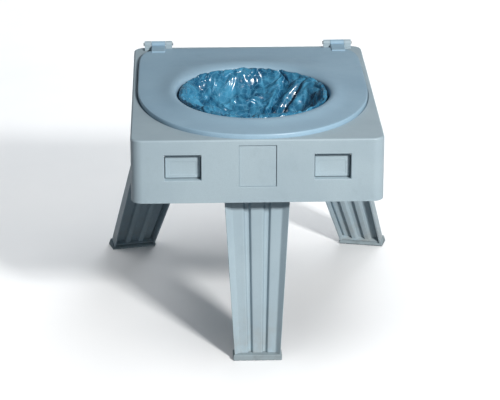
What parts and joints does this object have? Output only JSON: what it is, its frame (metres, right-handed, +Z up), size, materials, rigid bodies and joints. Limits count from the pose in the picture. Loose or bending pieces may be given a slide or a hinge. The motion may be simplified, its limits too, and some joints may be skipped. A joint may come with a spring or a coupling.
{
  "type": "portable camp toilet",
  "caption": "Folding camp toilet: moulded case with a hinged raised seat, oval opening with a blue film liner over a net, and ribbed legs that fold up underneath.",
  "frame": {"origin": "on the ground, below the middle of the object's bounding box, a little behind the middle of the case", "axes": "+Z up, the front with its single leg faces -Y, +X is the object's right-hand side as seen from the front"},
  "size_m": [0.4838, 0.5153, 0.3745],
  "materials": {
    "shell_plastic": "fine moulded texture, pale blue-grey",
    "seat_plastic": "smooth satin, pale blue-grey",
    "leg_plastic": "fine moulded texture, pale blue-grey",
    "fitting_plastic": "satin",
    "foot_rubber": "matte",
    "pin_steel": "zinc plated",
    "net_nylon": "knitted mesh",
    "liner_film": "thin crinkled film"
  },
  "bodies": {
    "case": {"bag_net": "net_nylon", "case_shell": "shell_plastic", "front_badge_plate": "shell_plastic", "front_bracket_screw_1": "pin_steel", "front_bracket_screw_2": "pin_steel", "front_grip_pin_left": "pin_steel", "front_grip_pin_right": "pin_steel", "front_leg_bracket": "fitting_plastic", "front_leg_pin": "pin_steel", "front_pin_washer": "pin_steel", "net_ring": "fitting_plastic", "net_ring_screw_1": "pin_steel", "net_ring_screw_2": "pin_steel", "net_ring_screw_3": "pin_steel", "net_ring_screw_4": "pin_steel", "rear_left_bracket_screw_1": "pin_steel", "rear_left_bracket_screw_2": "pin_steel", "rear_left_leg_bracket": "fitting_plastic", "rear_left_leg_pin": "pin_steel", "rear_left_pin_washer": "pin_steel", "rear_right_bracket_screw_1": "pin_steel", "rear_right_bracket_screw_2": "pin_steel", "rear_right_leg_bracket": "fitting_plastic", "rear_right_leg_pin": "pin_steel", "rear_right_pin_washer": "pin_steel", "seat_hinge_block_left": "shell_plastic", "seat_hinge_block_right": "shell_plastic", "seat_hinge_pin_left": "pin_steel", "seat_hinge_pin_right": "pin_steel", "seat_hinge_screw_left": "pin_steel", "seat_hinge_screw_right": "pin_steel", "waste_bag_liner": "liner_film"},
    "front_leg_body": {"front_leg": "leg_plastic", "front_foot": "foot_rubber"},
    "rear_left_leg_body": {"rear_left_leg": "leg_plastic", "rear_left_foot": "foot_rubber"},
    "rear_right_leg_body": {"rear_right_leg": "leg_plastic", "rear_right_foot": "foot_rubber"},
    "seat": {"seat_plate": "seat_plastic", "seat_bumper_1": "foot_rubber", "seat_bumper_2": "foot_rubber", "seat_bumper_3": "foot_rubber", "seat_bumper_4": "foot_rubber"},
    "left_grip": {"front_grip_left": "shell_plastic"},
    "right_grip": {"front_grip_right": "shell_plastic"}
  },
  "joints": [
    {"name": "front_leg_fold", "type": "hinge", "parent": "case", "child": "front_leg_body", "pos_m": [0, -0.2198, 0.281], "axis": [1, 0, 0], "range_deg": [0, 94.8]},
    {"name": "rear_left_leg_fold", "type": "hinge", "parent": "case", "child": "rear_left_leg_body", "pos_m": [-0.1185, 0.1692, 0.281], "axis": [-0.9756, -0.2198, 0], "range_deg": [0, 106.36]},
    {"name": "rear_right_leg_fold", "type": "hinge", "parent": "case", "child": "rear_right_leg_body", "pos_m": [0.1185, 0.1692, 0.281], "axis": [-0.9756, 0.2198, 0], "range_deg": [0, 106.36]},
    {"name": "seat_hinge", "type": "hinge", "parent": "case", "child": "seat", "pos_m": [0, 0.2142, 0.3695], "axis": [-1, 0, 0], "range_deg": [0, 100]},
    {"name": "left_grip_swing", "type": "hinge", "parent": "case", "child": "left_grip", "pos_m": [-0.1125, -0.2425, 0.331], "axis": [-1, 0, 0], "range_deg": [0, 80]},
    {"name": "right_grip_swing", "type": "hinge", "parent": "case", "child": "right_grip", "pos_m": [0.1125, -0.2425, 0.331], "axis": [-1, 0, 0], "range_deg": [0, 80]}
  ]
}
